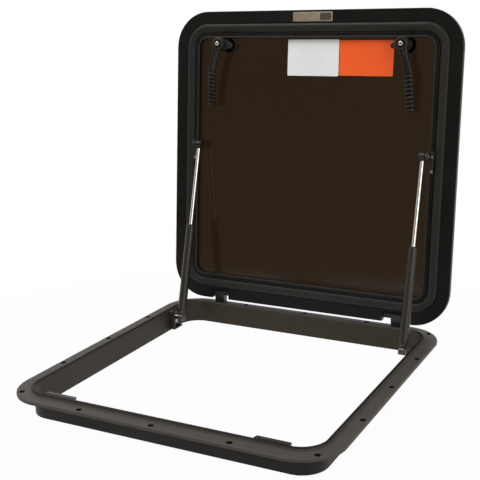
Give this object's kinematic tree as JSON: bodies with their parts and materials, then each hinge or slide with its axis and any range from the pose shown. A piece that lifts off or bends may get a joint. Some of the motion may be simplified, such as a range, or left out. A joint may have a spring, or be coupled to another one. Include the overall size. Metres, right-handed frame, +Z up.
{
  "type": "boat escape hatch",
  "caption": "Square deck escape hatch with a smoked pane in a hinged lid, gas struts that hold it open and turning latches.",
  "frame": {"origin": "centre of the deck screw pattern, on the underside of the deck frame's flange", "axes": "+Z up out of the boat, +Y towards the hinges, +X to the right seen from the latch side"},
  "size_m": [0.6372, 0.6764, 0.681],
  "materials": {
    "frame_metal": "satin dark bronze coating",
    "lid_metal": "satin black coating",
    "seal_rubber": "matt rubber",
    "smoked_acrylic": "polished dark smoked acrylic",
    "bond_rubber": "matt black",
    "bracket_metal": "satin dark coating",
    "knuckle_metal": "satin grey",
    "black_plastic": "fine grained black",
    "tube_paint": "semi gloss black paint",
    "polished_chrome": "polished",
    "stainless_steel": "turned stainless steel"
  },
  "bodies": {
    "base": {"base_frame": "frame_metal", "keeper_left": "bracket_metal", "keeper_right": "bracket_metal", "keeper_screws": "stainless_steel", "strut_base_bracket_left": "bracket_metal", "strut_base_bracket_right": "bracket_metal", "base_bracket_screws": "stainless_steel", "lower_stud_left": "stainless_steel", "lower_stud_right": "stainless_steel", "hinge_lug_left": "bracket_metal", "hinge_lug_right": "bracket_metal", "hinge_lug_screws": "stainless_steel", "hinge_pin_left": "stainless_steel", "hinge_pin_right": "stainless_steel"},
    "lid": {"lid_frame": "lid_metal", "lid_seal": "seal_rubber", "glazing_pane": "smoked_acrylic", "glazing_bond": "bond_rubber", "hinge_leaf_left": "knuckle_metal", "hinge_leaf_right": "knuckle_metal", "hinge_leaf_screws": "stainless_steel", "strut_lid_bracket_left": "bracket_metal", "strut_lid_bracket_right": "bracket_metal", "lid_bracket_screws": "stainless_steel", "bracket_rivet_left": "stainless_steel", "bracket_rivet_right": "stainless_steel", "latch_bush_left": "black_plastic", "latch_bush_right": "black_plastic", "latch_gasket_left": "bond_rubber", "latch_gasket_right": "bond_rubber", "latch_escutcheon_left": "black_plastic", "latch_escutcheon_right": "black_plastic"},
    "latch_left": {"latch_handle_left": "black_plastic", "latch_cam_left": "stainless_steel", "latch_spindle_left": "stainless_steel", "latch_washer_left": "stainless_steel", "latch_screw_left": "polished_chrome"},
    "tube_left": {"strut_tube_left": "tube_paint", "strut_gland_left": "black_plastic", "strut_tube_eye_left": "black_plastic"},
    "rod_left": {"strut_rod_left": "polished_chrome", "strut_piston_left": "stainless_steel", "strut_rod_eye_left": "black_plastic", "upper_stud_left": "stainless_steel"},
    "latch_right": {"latch_handle_right": "black_plastic", "latch_cam_right": "stainless_steel", "latch_spindle_right": "stainless_steel", "latch_washer_right": "stainless_steel", "latch_screw_right": "polished_chrome"},
    "tube_right": {"strut_tube_right": "tube_paint", "strut_gland_right": "black_plastic", "strut_tube_eye_right": "black_plastic"},
    "rod_right": {"strut_rod_right": "polished_chrome", "strut_piston_right": "stainless_steel", "strut_rod_eye_right": "black_plastic", "upper_stud_right": "stainless_steel"}
  },
  "joints": [
    {"name": "lid_hinge", "type": "hinge", "parent": "base", "child": "lid", "pos_m": [0, 0.3016, 0.0294], "axis": [1, 0, 0], "range_deg": [0, 95.7]},
    {"name": "strut_swing_left", "type": "hinge", "parent": "base", "child": "tube_left", "pos_m": [-0.2535, 0.202, -0.007], "axis": [1, 0, 0], "range_deg": [0, 103.83]},
    {"name": "rod_slide_left", "type": "slide", "parent": "tube_left", "child": "rod_left", "axis": [0, 0.2714, 0.9625], "range_m": [-0.15147, 0]},
    {"name": "latch_turn_left", "type": "hinge", "parent": "lid", "child": "latch_left", "pos_m": [-0.203, 0.3396, 0.57522], "axis": [0, -0.9951, 0.0993], "range_deg": [0, 99.6]},
    {"name": "strut_swing_right", "type": "hinge", "parent": "base", "child": "tube_right", "pos_m": [0.2535, 0.202, -0.007], "axis": [1, 0, 0], "range_deg": [0, 103.83]},
    {"name": "rod_slide_right", "type": "slide", "parent": "tube_right", "child": "rod_right", "axis": [0, 0.2714, 0.9625], "range_m": [-0.15147, 0]},
    {"name": "latch_turn_right", "type": "hinge", "parent": "lid", "child": "latch_right", "pos_m": [0.203, 0.3396, 0.57522], "axis": [0, 0.9951, -0.0993], "range_deg": [0, 99.6]}
  ],
  "couplings": [
    {"joint": "strut_swing_left", "follows": "lid_hinge", "ratio": 1.0849},
    {"joint": "rod_slide_left", "follows": "lid_hinge", "m_per_rad": -0.09068},
    {"joint": "strut_swing_right", "follows": "lid_hinge", "ratio": 1.0849},
    {"joint": "rod_slide_right", "follows": "lid_hinge", "m_per_rad": -0.09068}
  ]
}
